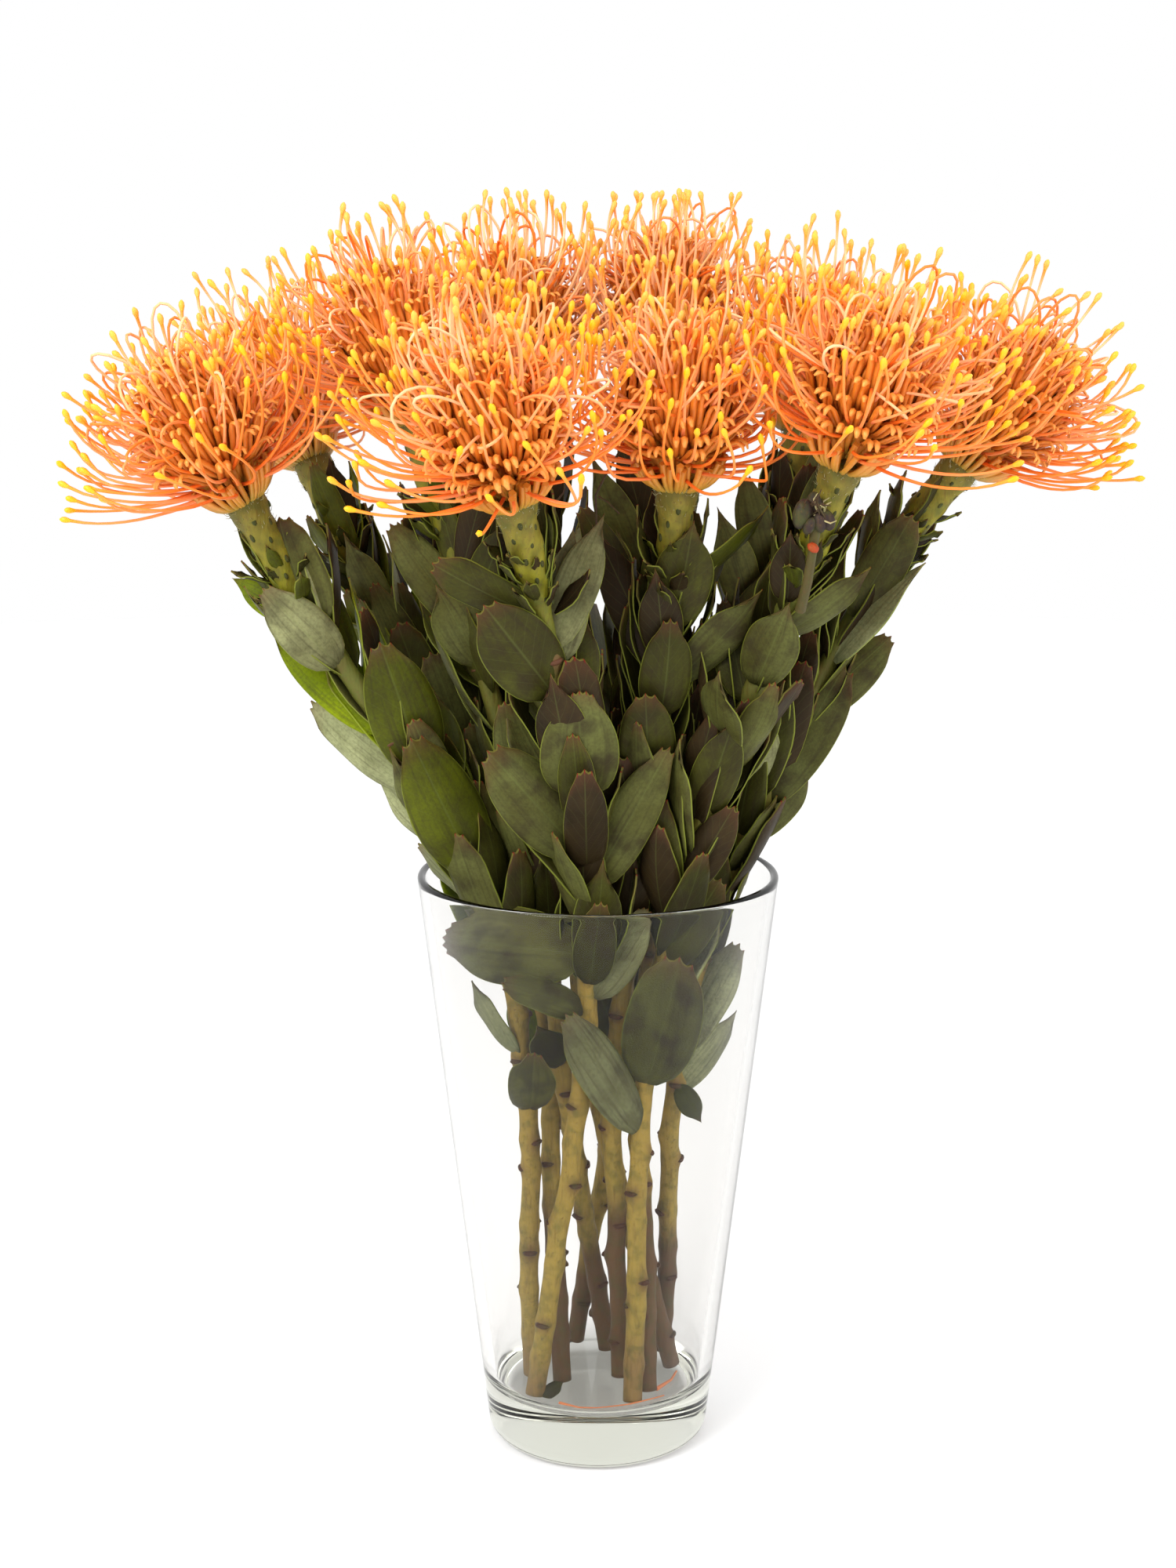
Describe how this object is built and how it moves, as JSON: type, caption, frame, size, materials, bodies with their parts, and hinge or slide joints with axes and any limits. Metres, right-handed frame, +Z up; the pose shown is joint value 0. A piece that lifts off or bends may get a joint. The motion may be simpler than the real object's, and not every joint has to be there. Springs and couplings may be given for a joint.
{
  "type": "glass vase of pincushion protea flowers",
  "caption": "Cut pincushion protea stems with leathery toothed leaves and orange heads of curved styles, standing in a clear tapered glass vase.",
  "frame": {"origin": "centre of the vase's flat underside", "axes": "+Z up along the vase's axis; -Y towards the side that the picture shows; +X to the right of that side"},
  "size_m": [0.385, 0.2521, 0.4806],
  "materials": {
    "glass": "clear polished glass with a faint green tint",
    "foliage": "dull leathery grey-green leaf with a thin yellow margin, on yellow-olive woody stems",
    "bloom": "satin orange styles with yellow tips over ochre curled florets"
  },
  "bodies": {
    "root": {"vase": "glass", "stem_01": "foliage", "stem_02": "foliage", "stem_03": "foliage", "stem_04": "foliage", "stem_05": "foliage", "stem_06": "foliage", "stem_07": "foliage", "stem_08": "foliage", "stem_09": "foliage", "stem_10": "foliage", "bloom_01": "bloom", "bloom_02": "bloom", "bloom_03": "bloom", "bloom_04": "bloom", "bloom_05": "bloom", "bloom_06": "bloom", "bloom_07": "bloom", "bloom_08": "bloom", "bloom_09": "bloom", "bloom_10": "bloom"}
  },
  "joints": []
}
